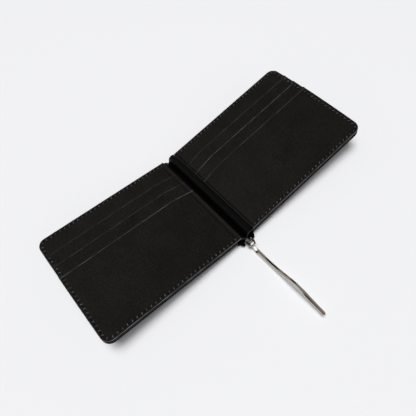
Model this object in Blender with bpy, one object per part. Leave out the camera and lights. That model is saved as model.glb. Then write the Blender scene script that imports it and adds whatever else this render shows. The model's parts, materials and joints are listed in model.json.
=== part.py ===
"""Bifold wallet with a hinged money clip, lying open with its clip arm swung out.

Metres, +Z up. The origin is the middle of the spine's underside, which the wallet rests on.
+X points across the spine to the right wing, and +Y along the spine, away from the clip's pivot.
Each wing turns about a fold line beside the spine, and the clip arm turns about its pivot pin.
"""
import math

import bmesh
import bpy
from mathutils import Vector

MM = 0.001

# Driving dimensions
WING_LENGTH = 105.0 * MM
WING_HEIGHT = 86.8 * MM
CORNER_RADIUS = 6.0 * MM
WING_TILT = math.radians(7.0)
FACE_HEIGHT = 9.4 * MM
FOLD_X = 7.5 * MM
LEATHER_GAP = 0.3 * MM

# Wing layers from the inner face outwards: name, thickness
POCKET_LAYERS = (
    ("front_pocket", 0.6 * MM),
    ("middle_pocket", 0.5 * MM),
    ("upper_pocket", 0.5 * MM),
)
BACKING_THICKNESS = 0.6 * MM
BOARD_THICKNESS = 0.6 * MM
COVER_THICKNESS = 1.0 * MM
BOARD_INSET = 3.0 * MM

# Card slots, measured down from the wing's top edge
FIRST_SLOT_DROP = 12.6 * MM
SLOT_PITCH = 9.7 * MM
SLOT_BEND_X = 18.0 * MM
SLOT_END_DROP = 2.4 * MM

# How far each wing's pocket stack reaches past its fold line, towards the clip
OVERHANG = {"left": 3.6 * MM, "right": 0.0}
SIDE_SIGN = {"left": -1, "right": 1}

# Seams
THREAD_RADIUS = 0.2 * MM
SEAM_INSET = 2.0 * MM
INNER_SEAM_INSET = 3.0 * MM
SEAM_STEP = 0.6 * MM

# Spine leather
SPINE_HALF_WIDTH = 5.0 * MM
SPINE_CURL = 2.1 * MM
COVER_FOLD_REACH = 2.0 * MM
LINING_THICKNESS = 0.8 * MM
LINING_HALF_WIDTH = 1.4 * MM
GUSSET_FOOT_X = 2.65 * MM
GUSSET_THICKNESS = 0.6 * MM
GUSSET_DROP = 0.5 * MM
GUSSET_LEAN = 0.1 * MM
LEFT_LINING_TOP_X = 2.65 * MM
RIGHT_RISE_Z = 7.0 * MM
RIGHT_CREST_X = 4.4 * MM
RIGHT_LINING_END_X = 6.4 * MM

# Clip metalwork
BAR_WIDTH = 4.2 * MM
BAR_THICKNESS = 0.8 * MM
BAR_END_Y = 40.0 * MM
CHEEK_THICKNESS = 0.6 * MM
CHEEK_RADIUS = 2.3 * MM
CHEEK_ROOT_Y = -43.8 * MM
PIVOT_Y = -48.5 * MM
PIVOT_Z = 5.2 * MM
PIN_RADIUS = 0.7 * MM
PIN_CLEARANCE = 0.05 * MM
PIN_HEAD_RADIUS = 1.05 * MM
PIN_HEAD_THICKNESS = 0.35 * MM
SPRING_THICKNESS = 0.4 * MM
SPRING_WIDTH = 2.5 * MM
SPRING_LENGTH = 17.0 * MM

# Clip arm
ARM_OPEN_ANGLE = math.radians(175.0)
ARM_THICKNESS = 1.0 * MM
ARM_ROOT_WIDTH = 3.6 * MM
ARM_TIP_WIDTH = 2.4 * MM
ARM_LIFT = 0.1
KNUCKLE_RADIUS = 1.5 * MM
KNUCKLE_CORNER_RADIUS = 1.75 * MM
KNUCKLE_WIDTH = 2.6 * MM
# The wave of the closed arm above its chord: distance from the pivot, height
ARM_WAVE = (
    (0.0, 0.0), (2.6 * MM, 1.5 * MM), (5.6 * MM, 3.8 * MM), (9.5 * MM, 4.2 * MM),
    (15.5 * MM, 4.0 * MM), (23.0 * MM, 2.5 * MM), (30.5 * MM, 0.1 * MM), (38.0 * MM, -2.2 * MM),
    (45.5 * MM, -2.4 * MM), (52.0 * MM, -1.3 * MM), (57.0 * MM, -0.6 * MM), (63.0 * MM, 0.0),
)
ARM_STEPS_PER_SPAN = 4
ARM_FIRST_POSITION = 0.5
ARM_TIP_SHARES = (0.1, 0.04, 0.0)
ARM_SAMPLE = 0.05
ARM_EDGE_ROUND = 0.35 * MM
ARM_NECK_START = 3.6 * MM
ARM_NECK_LENGTH = 1.2 * MM

ROUND_SEGMENTS = 32
CORNER_SEGMENTS = 8
FOLD_SEGMENTS = 10
SHARP_ANGLE = math.radians(40.0)

FACE_DEPTH = (sum(thickness for _, thickness in POCKET_LAYERS) + BACKING_THICKNESS
              + BOARD_THICKNESS + COVER_THICKNESS / 2 + 5 * LEATHER_GAP)
LINING_BOTTOM_Z = (COVER_THICKNESS + LEATHER_GAP + BAR_THICKNESS + LEATHER_GAP
                   + SPRING_THICKNESS + LEATHER_GAP)


# ---------------------------------------------------------------- helpers

def clear_scene():
    for obj in list(bpy.data.objects):
        bpy.data.objects.remove(obj, do_unlink=True)


def material(name, color, roughness, metallic=0.0):
    """A plain Principled material."""
    result = bpy.data.materials.new(name)
    result.use_nodes = True
    shader = result.node_tree.nodes["Principled BSDF"]
    shader.inputs["Base Color"].default_value = (*color, 1.0)
    shader.inputs["Roughness"].default_value = roughness
    shader.inputs["Metallic"].default_value = metallic
    return result


def link(obj, finish, parent=None):
    """Put an object in the scene with its material, and under its parent if it has one."""
    bpy.context.scene.collection.objects.link(obj)
    if finish is not None:
        obj.data.materials.append(finish)
    obj.parent = parent
    return obj


def mesh_object(name, bm, finish, parent=None):
    """Turn a bmesh into an object with its faces pointing outwards."""
    bmesh.ops.recalc_face_normals(bm, faces=bm.faces[:])
    mesh = bpy.data.meshes.new(name)
    bm.to_mesh(mesh)
    bm.free()
    return link(bpy.data.objects.new(name, mesh), finish, parent)


def prism(name, outline, low, high, axis, finish, parent=None):
    """Extrude a closed outline along an axis, from low to high."""
    bm = bmesh.new()
    if axis == "X":
        corners = [bm.verts.new((low, a, b)) for a, b in outline]
        step = Vector((high - low, 0, 0))
    elif axis == "Y":
        corners = [bm.verts.new((a, low, b)) for a, b in outline]
        step = Vector((0, high - low, 0))
    else:
        corners = [bm.verts.new((a, b, low)) for a, b in outline]
        step = Vector((0, 0, high - low))
    face = bm.faces.new(corners)
    extruded = bmesh.ops.extrude_face_region(bm, geom=[face])
    moved = [item for item in extruded["geom"] if isinstance(item, bmesh.types.BMVert)]
    bmesh.ops.translate(bm, verts=moved, vec=step)
    return mesh_object(name, bm, finish, parent)


def arc(center, radius, start, end, segments):
    """Points of an arc, from one angle to the other."""
    points = []
    for index in range(segments + 1):
        angle = start + (end - start) * index / segments
        points.append((center[0] + radius * math.cos(angle), center[1] + radius * math.sin(angle)))
    return points


def bezier(p0, h0, h1, p1, segments):
    """Points of a cubic curve between two ends with two handles."""
    points = []
    for index in range(segments + 1):
        t = index / segments
        s = 1 - t
        weights = (s ** 3, 3 * s * s * t, 3 * s * t * t, t ** 3)
        points.append(tuple(
            sum(w * p[axis] for w, p in zip(weights, (p0, h0, h1, p1))) for axis in (0, 1)
        ))
    return points


def ribbon(center_line, thickness):
    """The closed outline of a strip that follows a centre line."""
    count = len(center_line)
    upper = []
    lower = []
    for index, point in enumerate(center_line):
        before = Vector(center_line[max(index - 1, 0)])
        after = Vector(center_line[min(index + 1, count - 1)])
        along = (after - before).normalized()
        offset = Vector((-along.y, along.x)) * thickness / 2
        upper.append(tuple(Vector(point) + offset))
        lower.append(tuple(Vector(point) - offset))
    return upper + lower[::-1]


def cut(target, cutter):
    """Subtract a hidden cutter from an object."""
    cutter.hide_render = True
    cutter.display_type = "WIRE"
    modifier = target.modifiers.new("cut_" + cutter.name, "BOOLEAN")
    modifier.operation = "DIFFERENCE"
    modifier.object = cutter


def turned_x(name, profile, center, finish=None):
    """A solid of revolution about an axis along X, from (x, radius) pairs."""
    bm = bmesh.new()
    rings = []
    for x, radius in profile:
        circle = arc(center, radius, 0.0, 2 * math.pi, ROUND_SEGMENTS)[:-1]
        rings.append([bm.verts.new((x, y, z)) for y, z in circle])
    for first, second in zip(rings, rings[1:]):
        for index in range(ROUND_SEGMENTS):
            following = (index + 1) % ROUND_SEGMENTS
            bm.faces.new((first[index], first[following], second[following], second[index]))
    bm.faces.new(rings[0])
    bm.faces.new(rings[-1])
    return mesh_object(name, bm, finish)


def thread_curve(name, points, finish, parent):
    """A sewing thread that follows the given points."""
    data = bpy.data.curves.new(name, "CURVE")
    data.dimensions = "3D"
    data.bevel_depth = THREAD_RADIUS
    data.bevel_resolution = 0
    data.use_fill_caps = True
    spline = data.splines.new("POLY")
    spline.points.add(len(points) - 1)
    for target, point in zip(spline.points, points):
        target.co = (*point, 1.0)
    return link(bpy.data.objects.new(name, data), finish, parent)


# ---------------------------------------------------------------- wings

def wing_outline(overhang, inset=0.0):
    """A wing's outline in its own plane: x outwards from the fold line, y along the spine."""
    inner = -overhang + inset
    outer = WING_LENGTH - overhang - inset
    half = WING_HEIGHT / 2 - inset
    radius = CORNER_RADIUS - inset
    low = arc((outer - radius, -half + radius), radius, -math.pi / 2, 0.0, CORNER_SEGMENTS)
    high = arc((outer - radius, half - radius), radius, 0.0, math.pi / 2, CORNER_SEGMENTS)
    return [(inner, -half)] + low + high + [(inner, half)]


def cover_outline(overhang):
    """The outer cover ends at the fold line, where the spine leather takes over."""
    return [(max(x, 0.0), y) for x, y in wing_outline(overhang)]


def slot_y(number):
    """Height of a card slot's straight edge: 0 is the front pocket's, the lowest."""
    highest = WING_HEIGHT / 2 - FIRST_SLOT_DROP
    return highest - (len(POCKET_LAYERS) - 1 - number) * SLOT_PITCH


def pocket_outline(overhang, number):
    """A card pocket: the wing's outline below its slot edge, which droops towards the spine."""
    top = slot_y(number)
    outer = WING_LENGTH - overhang
    bend = SLOT_BEND_X - overhang
    lower_part = [point for point in wing_outline(overhang) if point[1] < 0]
    return lower_part + [(outer, top), (bend, top), (-overhang, top - SLOT_END_DROP)]


def seam_steps(x, levels):
    """Points where a seam along Y comes down past each slot edge, from the lowest slot up."""
    points = []
    for number, (level, next_level) in enumerate(zip(levels, levels[1:])):
        height = slot_y(number) + SEAM_STEP
        points.append((x, height, level))
        points.append((x, height + SEAM_STEP, next_level))
    return points


def edge_seam_points(overhang, levels):
    """The seam along the wing's bottom, outer and top edges, on the surface that is there."""
    inset = wing_outline(overhang, SEAM_INSET)
    outer = max(x for x, _ in inset)
    below = [(x, y, levels[0]) for x, y in inset if y < 0]
    above = [(x, y, levels[-1]) for x, y in inset if y > 0]
    return below + seam_steps(outer, levels) + above


def inner_seam_points(overhang, levels):
    """The seam beside the wing's inner edge, between the ends of the edge seam."""
    x = INNER_SEAM_INSET - overhang
    end = WING_HEIGHT / 2 - 2 * SEAM_INSET
    return [(x, -end, levels[0])] + seam_steps(x, levels) + [(x, end, levels[-1])]


def fold_location(side):
    """Where a wing's fold line lies, so that the wing's inner edge is at the face height."""
    drop = FACE_DEPTH * math.cos(WING_TILT) - OVERHANG[side] * math.sin(WING_TILT)
    return Vector((SIDE_SIGN[side] * FOLD_X, 0, FACE_HEIGHT - drop))


def build_wing(side, finishes):
    """One wing: card pockets on a backing, a stiffening board and the outer cover."""
    sign = SIDE_SIGN[side]
    overhang = OVERHANG[side]
    fold = link(bpy.data.objects.new(side + "_fold_line", None), None)
    fold.location = fold_location(side)
    fold.rotation_euler = (0, -sign * WING_TILT, 0)

    layers = []
    for number, (name, thickness) in enumerate(POCKET_LAYERS):
        layers.append((name, pocket_outline(overhang, number), thickness, "pocket_leather"))
    layers.append(("card_backing", wing_outline(overhang), BACKING_THICKNESS, "pocket_leather"))
    layers.append(("cover_board", wing_outline(overhang, BOARD_INSET), BOARD_THICKNESS, "board"))
    layers.append(("cover", cover_outline(overhang), COVER_THICKNESS, "cover_leather"))

    top = FACE_DEPTH
    surfaces = []
    for name, outline, thickness, finish in layers:
        mirrored = [(sign * x, y) for x, y in outline]
        prism(side + "_" + name, mirrored, top - thickness, top, "Z", finishes[finish], fold)
        surfaces.append(top)
        top -= thickness + LEATHER_GAP

    sewn = surfaces[:len(POCKET_LAYERS) + 1]
    levels = [surface + LEATHER_GAP + THREAD_RADIUS for surface in sewn]
    seams = {
        "edge_seam_thread": edge_seam_points(overhang, levels),
        "inner_seam_thread": inner_seam_points(overhang, levels),
    }
    for name, points in seams.items():
        mirrored = [(sign * x, y, z) for x, y, z in points]
        thread_curve(side + "_" + name, mirrored, finishes["thread"], fold)


# ---------------------------------------------------------------- spine

def build_spine_leather(finishes):
    """The cover leather under the spine, the lining over the clip's bar, and their soft folds."""
    half_height = WING_HEIGHT / 2
    bottom_end = -half_height - SPINE_CURL
    flat = [(-SPINE_HALF_WIDTH, 0), (SPINE_HALF_WIDTH, 0),
            (SPINE_HALF_WIDTH, COVER_THICKNESS), (-SPINE_HALF_WIDTH, COVER_THICKNESS)]
    prism("spine_cover", flat, bottom_end, half_height, "Y", finishes["cover_leather"])

    floor_top = LINING_BOTTOM_Z + LINING_THICKNESS
    floor = [(-LINING_HALF_WIDTH, LINING_BOTTOM_Z), (LINING_HALF_WIDTH, LINING_BOTTOM_Z),
             (LINING_HALF_WIDTH, floor_top), (-LINING_HALF_WIDTH, floor_top)]
    prism("trough_lining", floor, CHEEK_ROOT_Y + 2 * LEATHER_GAP, half_height, "Y",
          finishes["pocket_leather"])

    for side, sign in SIDE_SIGN.items():
        fold = fold_location(side)
        along = Vector((math.cos(WING_TILT), math.sin(WING_TILT)))
        start = Vector((SPINE_HALF_WIDTH + LEATHER_GAP, COVER_THICKNESS / 2))
        end = Vector((abs(fold.x), fold.z)) - along * LEATHER_GAP
        reach = COVER_FOLD_REACH
        center_line = bezier(start, start + Vector((reach, 0)), end - along * reach, end,
                             FOLD_SEGMENTS)
        outline = [(sign * x, z) for x, z in ribbon(center_line, COVER_THICKNESS)]
        prism(side + "_cover_fold", outline, -half_height, half_height, "Y",
              finishes["cover_leather"])

    foot = Vector((GUSSET_FOOT_X, LINING_BOTTOM_Z + LINING_THICKNESS / 2))
    left_top = Vector((LEFT_LINING_TOP_X, FACE_HEIGHT - GUSSET_DROP))
    left_line = [(-foot.x, foot.y), (-left_top.x, left_top.y)]
    crest = Vector((RIGHT_CREST_X, FACE_HEIGHT - GUSSET_DROP))
    right_end = Vector((RIGHT_LINING_END_X, FACE_HEIGHT - GUSSET_DROP))
    right_line = [tuple(foot)] + bezier(
        Vector((foot.x - GUSSET_LEAN, RIGHT_RISE_Z)), Vector((foot.x - GUSSET_LEAN, crest.y)),
        crest, right_end, FOLD_SEGMENTS)
    for side, center_line in (("left", left_line), ("right", right_line)):
        prism(side + "_lining_fold", ribbon(center_line, GUSSET_THICKNESS),
              -half_height, half_height, "Y", finishes["pocket_leather"])


# ---------------------------------------------------------------- clip

def build_base_bar(finishes):
    """The clip's base: a long bar under the lining, with two cheeks that hold the pivot pin."""
    bar_bottom = COVER_THICKNESS + LEATHER_GAP
    bar_top = bar_bottom + BAR_THICKNESS
    pivot = (PIVOT_Y, PIVOT_Z)
    nose = arc(pivot, CHEEK_RADIUS, math.radians(50), math.radians(215), 2 * CORNER_SEGMENTS)
    side_view = ([(BAR_END_Y, bar_bottom), (BAR_END_Y, bar_top), (CHEEK_ROOT_Y, bar_top)]
                 + nose + [(PIVOT_Y - PIN_RADIUS, bar_bottom)])
    bar = prism("clip_base_bar", side_view, -BAR_WIDTH / 2, BAR_WIDTH / 2, "X",
                finishes["polished_steel"])

    slot_half = BAR_WIDTH / 2 - CHEEK_THICKNESS
    slot_view = [(PIVOT_Y - 2 * CHEEK_RADIUS, bar_top), (CHEEK_ROOT_Y + CHEEK_RADIUS, bar_top),
                 (CHEEK_ROOT_Y + CHEEK_RADIUS, PIVOT_Z + 2 * CHEEK_RADIUS),
                 (PIVOT_Y - 2 * CHEEK_RADIUS, PIVOT_Z + 2 * CHEEK_RADIUS)]
    cut(bar, prism("cheek_slot_cutter", slot_view, -slot_half, slot_half, "X", None))
    hole = PIN_RADIUS + PIN_CLEARANCE
    cut(bar, turned_x("cheek_hole_cutter", [(-BAR_WIDTH, hole), (BAR_WIDTH, hole)], pivot))


def build_pivot_pin(finishes):
    """The pivot pin, with a peened head outside each cheek."""
    inner = BAR_WIDTH / 2 + LEATHER_GAP
    outer = inner + PIN_HEAD_THICKNESS
    half = [(inner, PIN_RADIUS), (inner, PIN_HEAD_RADIUS), (outer, PIN_HEAD_RADIUS)]
    profile = [(-x, radius) for x, radius in reversed(half)] + half
    pin = turned_x("pivot_pin", profile, (PIVOT_Y, PIVOT_Z), finishes["polished_steel"])
    pin.data.shade_smooth()
    pin.data.set_sharp_from_angle(angle=SHARP_ANGLE)


def build_detent_spring(finishes):
    """A leaf spring on the bar. Its free end bears on the flats of the arm's knuckle."""
    rest_z = COVER_THICKNESS + LEATHER_GAP + BAR_THICKNESS + LEATHER_GAP + SPRING_THICKNESS / 2
    free_z = PIVOT_Z - KNUCKLE_CORNER_RADIUS - 2 * LEATHER_GAP
    tip = Vector((PIVOT_Y, free_z))
    bend = Vector((PIVOT_Y + SPRING_LENGTH / 2, rest_z))
    root = Vector((PIVOT_Y + SPRING_LENGTH, rest_z))
    center_line = bezier(tip, (tip + bend) / 2, bend, root, FOLD_SEGMENTS)
    prism("detent_spring", ribbon(center_line, SPRING_THICKNESS),
          -SPRING_WIDTH / 2, SPRING_WIDTH / 2, "X", finishes["spring_steel"])


def wave_point(position):
    """A point of the closed arm's centre line, on a smooth curve through the wave's points."""
    span = min(int(position), len(ARM_WAVE) - 2)
    t = position - span
    last = len(ARM_WAVE) - 1
    picked = [Vector(ARM_WAVE[min(max(span + offset, 0), last)]) for offset in (-1, 0, 1, 2)]
    before, start, end, after = picked
    point = 0.5 * (2 * start + (end - before) * t
                   + (2 * before - 5 * start + 4 * end - after) * t * t
                   + (3 * start - before - 3 * end + after) * t ** 3)
    return Vector((point.x, point.y + ARM_LIFT * point.x))


def arm_half_width(reach):
    """Half the arm's width: narrow between the cheeks, then tapering to a rounded tip."""
    length = ARM_WAVE[-1][0]
    taper = ARM_ROOT_WIDTH + (ARM_TIP_WIDTH - ARM_ROOT_WIDTH) * reach / length
    neck = min(max((reach - ARM_NECK_START) / ARM_NECK_LENGTH, 0.0), 1.0)
    width = KNUCKLE_WIDTH + (taper - KNUCKLE_WIDTH) * neck
    from_tip = max(length - reach, 0.0)
    tip_radius = ARM_TIP_WIDTH / 2
    if from_tip < tip_radius:
        width *= math.sqrt(max(1 - (1 - from_tip / tip_radius) ** 2, 0.04))
    return width / 2


def build_clip_arm(finishes):
    """The clip arm: a waved strip with a knuckle that turns on the pivot pin."""
    bm = bmesh.new()
    spans = len(ARM_WAVE) - 1
    positions = [ARM_FIRST_POSITION + index / ARM_STEPS_PER_SPAN
                 for index in range(int((spans - ARM_FIRST_POSITION) * ARM_STEPS_PER_SPAN))]
    tip_reach = ARM_WAVE[-1][0]
    positions += [spans - share for share in ARM_TIP_SHARES]
    sections = []
    for position in positions:
        center = wave_point(position)
        ahead = wave_point(min(position + ARM_SAMPLE, spans))
        behind = wave_point(max(position - ARM_SAMPLE, 0))
        along = (ahead - behind).normalized()
        normal = Vector((-along.y, along.x))
        half_width = arm_half_width(min(center.x, tip_reach))
        edge = ARM_THICKNESS / 2
        flat = half_width - ARM_EDGE_ROUND
        section = ((flat, edge), (half_width, 0), (flat, -edge),
                   (-flat, -edge), (-half_width, 0), (-flat, edge))
        ring = []
        for across, lift in section:
            place = center + normal * lift
            ring.append(bm.verts.new((across, place.x, place.y)))
        sections.append(ring)
    for first, second in zip(sections, sections[1:]):
        for index in range(len(first)):
            following = (index + 1) % len(first)
            bm.faces.new((first[index], first[following], second[following], second[index]))
    bm.faces.new(sections[0])
    bm.faces.new(sections[-1])
    arm = mesh_object("clip_arm", bm, finishes["polished_steel"])
    arm.location = (0, PIVOT_Y, PIVOT_Z)
    arm.rotation_euler = (ARM_OPEN_ANGLE, 0, 0)

    knuckle_view = []
    for index in range(ROUND_SEGMENTS):
        angle = 2 * math.pi * index / ROUND_SEGMENTS
        flat_radius = KNUCKLE_RADIUS / max(abs(math.cos(angle)), abs(math.sin(angle)))
        radius = min(flat_radius, KNUCKLE_CORNER_RADIUS)
        knuckle_view.append((radius * math.cos(angle), radius * math.sin(angle)))
    knuckle = prism("knuckle_guide", knuckle_view, -KNUCKLE_WIDTH / 2, KNUCKLE_WIDTH / 2, "X", None)
    knuckle.location = arm.location
    knuckle.rotation_euler = arm.rotation_euler
    knuckle.hide_render = True
    knuckle.display_type = "WIRE"
    join = arm.modifiers.new("knuckle", "BOOLEAN")
    join.operation = "UNION"
    join.object = knuckle
    hole = PIN_RADIUS + PIN_CLEARANCE
    pivot = (PIVOT_Y, PIVOT_Z)
    cut(arm, turned_x("knuckle_hole_cutter", [(-BAR_WIDTH, hole), (BAR_WIDTH, hole)], pivot))


def main():
    clear_scene()
    finishes = {
        "cover_leather": material("cover_leather", (0.012, 0.011, 0.010), 0.55),
        "pocket_leather": material("pocket_leather", (0.016, 0.015, 0.013), 0.6),
        "board": material("board", (0.05, 0.045, 0.04), 0.9),
        "thread": material("thread", (0.25, 0.25, 0.26), 0.8),
        "polished_steel": material("polished_steel", (0.75, 0.74, 0.72), 0.12, 1.0),
        "spring_steel": material("spring_steel", (0.5, 0.5, 0.5), 0.3, 1.0),
    }
    for side in SIDE_SIGN:
        build_wing(side, finishes)
    build_spine_leather(finishes)
    build_base_bar(finishes)
    build_pivot_pin(finishes)
    build_detent_spring(finishes)
    build_clip_arm(finishes)


main()
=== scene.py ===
import json
import math

import bmesh
import bpy
from mathutils import Matrix, Vector, noise


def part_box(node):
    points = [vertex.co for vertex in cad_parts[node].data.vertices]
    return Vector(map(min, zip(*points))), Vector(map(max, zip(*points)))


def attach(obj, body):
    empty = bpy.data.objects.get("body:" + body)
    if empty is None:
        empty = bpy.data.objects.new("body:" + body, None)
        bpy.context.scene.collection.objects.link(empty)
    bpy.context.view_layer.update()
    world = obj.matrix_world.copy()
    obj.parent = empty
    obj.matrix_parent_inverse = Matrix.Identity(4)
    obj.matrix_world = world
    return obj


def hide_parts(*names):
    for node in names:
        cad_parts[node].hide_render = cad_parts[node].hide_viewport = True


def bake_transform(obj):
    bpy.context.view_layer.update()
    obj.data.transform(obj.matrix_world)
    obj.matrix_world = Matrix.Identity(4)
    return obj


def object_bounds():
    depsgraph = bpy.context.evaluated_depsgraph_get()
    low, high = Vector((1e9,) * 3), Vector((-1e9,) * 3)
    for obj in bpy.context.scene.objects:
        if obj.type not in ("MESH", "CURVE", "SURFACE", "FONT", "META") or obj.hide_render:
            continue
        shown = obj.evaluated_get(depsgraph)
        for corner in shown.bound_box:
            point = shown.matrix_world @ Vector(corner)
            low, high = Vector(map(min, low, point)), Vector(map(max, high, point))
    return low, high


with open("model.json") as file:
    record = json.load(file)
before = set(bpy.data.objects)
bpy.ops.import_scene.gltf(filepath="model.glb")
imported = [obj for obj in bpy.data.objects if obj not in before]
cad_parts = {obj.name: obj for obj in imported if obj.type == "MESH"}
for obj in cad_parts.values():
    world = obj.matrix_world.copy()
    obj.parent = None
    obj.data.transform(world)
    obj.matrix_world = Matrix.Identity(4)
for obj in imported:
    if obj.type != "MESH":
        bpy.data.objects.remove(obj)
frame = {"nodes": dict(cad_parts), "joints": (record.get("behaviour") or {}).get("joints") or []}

CAD_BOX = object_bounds()
MM = 0.001
SIDE_SIGN = {"left": -1, "right": 1}
JOINTS = {joint["name"]: joint for joint in frame["joints"]}

# ---------------------------------------------------------------- sizes from the frame

FOLD = {side: Vector(JOINTS[side + "_fold"]["pos_m"]) for side in SIDE_SIGN}
TILT = {side: math.radians(-JOINTS[side + "_fold"]["range_deg"][0]) for side in SIDE_SIGN}
PIVOT = Vector(JOINTS["clip_pivot"]["pos_m"])


def wing_frame(side):
    """The matrix that puts a wing's own frame in the CAD frame."""
    turn = Matrix.Rotation(-SIDE_SIGN[side] * TILT[side], 4, "Y")
    return Matrix.Translation(FOLD[side]) @ turn


def in_wing_frame(node, side):
    """Lowest and highest corners of a CAD node in the wing's own frame."""
    sign = SIDE_SIGN[side]
    back = wing_frame(side).inverted()
    points = [back @ vertex.co for vertex in frame["nodes"][node].data.vertices]
    xs = [sign * point.x for point in points]
    return (Vector((min(xs), min(p.y for p in points), min(p.z for p in points))),
            Vector((max(xs), max(p.y for p in points), max(p.z for p in points))))


STACK = {side: in_wing_frame(side + "_card_backing", side) for side in SIDE_SIGN}
FRONT = {side: in_wing_frame(side + "_front_pocket", side) for side in SIDE_SIGN}
INNER_X = {side: STACK[side][0].x for side in SIDE_SIGN}
OUTER_X = {side: STACK[side][1].x for side in SIDE_SIGN}
HALF_HEIGHT = STACK["left"][1].y
FACE_Z = FRONT["left"][1].z
SLOT_TOPS = [in_wing_frame("left_" + name + "_pocket", "left")[1].y
             for name in ("front", "middle", "upper")]
SPINE_LOW, SPINE_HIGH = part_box("spine_cover")

# ---------------------------------------------------------------- leather sizes

CORNER_RADIUS = 6.0 * MM
OUTER_SWELL = {"left": 0.2 * MM, "right": 0.8 * MM}
SLOT_BEND = 18.0 * MM
SLOT_DROOP = 2.4 * MM
STITCH_PITCH = 3.4 * MM
GRID_STEP = STITCH_PITCH / 3
# Distances of the rows of points beside a sheet's edge, where the leather rounds over
EDGE_ROWS = [0.0, 0.12 * MM, 0.3 * MM, 0.6 * MM, 1.0 * MM, 1.35 * MM, 1.6 * MM, 1.85 * MM,
             2.2 * MM, 2.8 * MM]
EDGE_ROUND = 0.3 * MM

# Layers of a wing; the ones between the face and the cover are trimmed back
PRESSED_THICKNESS = 0.4 * MM
LAYER_PITCH = 0.45 * MM
BACKING_THICKNESS = 0.7 * MM
TRIM = 0.8 * MM
SIDE_TRIM_SHARE = 0.15
COVER_TOP = 2.6 * MM
COVER_BOTTOM = -0.1 * MM
COVER_RECESS = 1.9 * MM
RECESS_START = 2.1 * MM
RECESS_END = 2.75 * MM

# Relief of the face: the groove and puckers along the seam, the inner crease, slow waves
SEAM_INSET = 2.0 * MM
INNER_STITCH_INSET = {"left": 3.0 * MM, "right": 1.8 * MM}
GROOVE_DEPTH = 0.2 * MM
GROOVE_WIDTH = 0.75 * MM
PUCKER_HEIGHT = 0.05 * MM
PUCKER_WIDTH = 1.2 * MM
CREASE_DEPTH = 0.3 * MM
CREASE_WIDTH = 0.6 * MM
WAVE_HEIGHT = 0.16 * MM
WAVE_LENGTH = 19.0 * MM
WAVE_WIDTH = 23.0 * MM
WAVE_FADE = 6.0 * MM
RELIEF_FADE = 0.8 * MM

# The turned-in edge of a slot: distances from the slot's line, and its height
LIP_HEIGHT = 0.24 * MM
LIP_END = 1.85 * MM
LIP_FLAT = 1.55 * MM
LIP_BEAD = 1.35 * MM
LIP_BEAD_WIDTH = 0.3 * MM
LIP_BEAD_SHARE = 0.5

# Pale lines, mostly painted highlight with some edge wear: on the outline's bevel, on each slot's
# turned edge, on the inner edge
BEVEL_LINE = 0.12 * MM
SLOT_LINE = 1.6 * MM
SLOT_LINE_WIDTH = 0.16 * MM
SLOT_HIGHLIGHT = {"left": (0.34, 0.16, 0.13), "right": (0.2, 0.36, 0.17)}
INNER_LINE = 0.2 * MM
INNER_LINE_WIDTH = 0.15 * MM
INNER_LINE_PALENESS = {"left": 0.12, "right": 0.0}
CREASE_LINE_WIDTH = 0.55 * MM
STRIP_START = 0.1 * MM
STRIP_FADE = 0.3 * MM
STRIP_GAP = 0.5 * MM


# ---------------------------------------------------------------- helpers

def smooth(value, low, high):
    """Smooth step from 0 at low to 1 at high."""
    t = min(max((value - low) / (high - low), 0.0), 1.0)
    return t * t * (3 - 2 * t)


def bump(value, center, width):
    """A bell of height 1."""
    return math.exp(-((value - center) / width) ** 2)


def steps(low, high, pitch):
    """Even positions from low to high, about a pitch apart."""
    count = max(1, round((high - low) / pitch))
    return [low + (high - low) * index / count for index in range(count + 1)]


def catmull(points, per_span):
    """A smooth line through points of any dimension."""
    line = []
    last = len(points) - 1
    for span in range(last):
        before, start, end, after = [
            Vector(points[min(max(span + offset, 0), last)]) for offset in (-1, 0, 1, 2)]
        for index in range(per_span):
            t = index / per_span
            line.append(0.5 * (2 * start + (end - before) * t
                               + (2 * before - 5 * start + 4 * end - after) * t ** 2
                               + (3 * start - before - 3 * end + after) * t ** 3))
    line.append(Vector(points[-1]))
    return line


def new_object(name, bm, finish, smooth_faces=True):
    """A shaded object from a bmesh, with its faces pointing outwards."""
    bmesh.ops.recalc_face_normals(bm, faces=bm.faces[:])
    mesh = bpy.data.meshes.new(name)
    bm.to_mesh(mesh)
    bm.free()
    mesh.materials.append(finish)
    obj = bpy.data.objects.new(name, mesh)
    bpy.context.scene.collection.objects.link(obj)
    if smooth_faces:
        mesh.shade_smooth()
    return obj


# ---------------------------------------------------------------- materials

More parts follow.
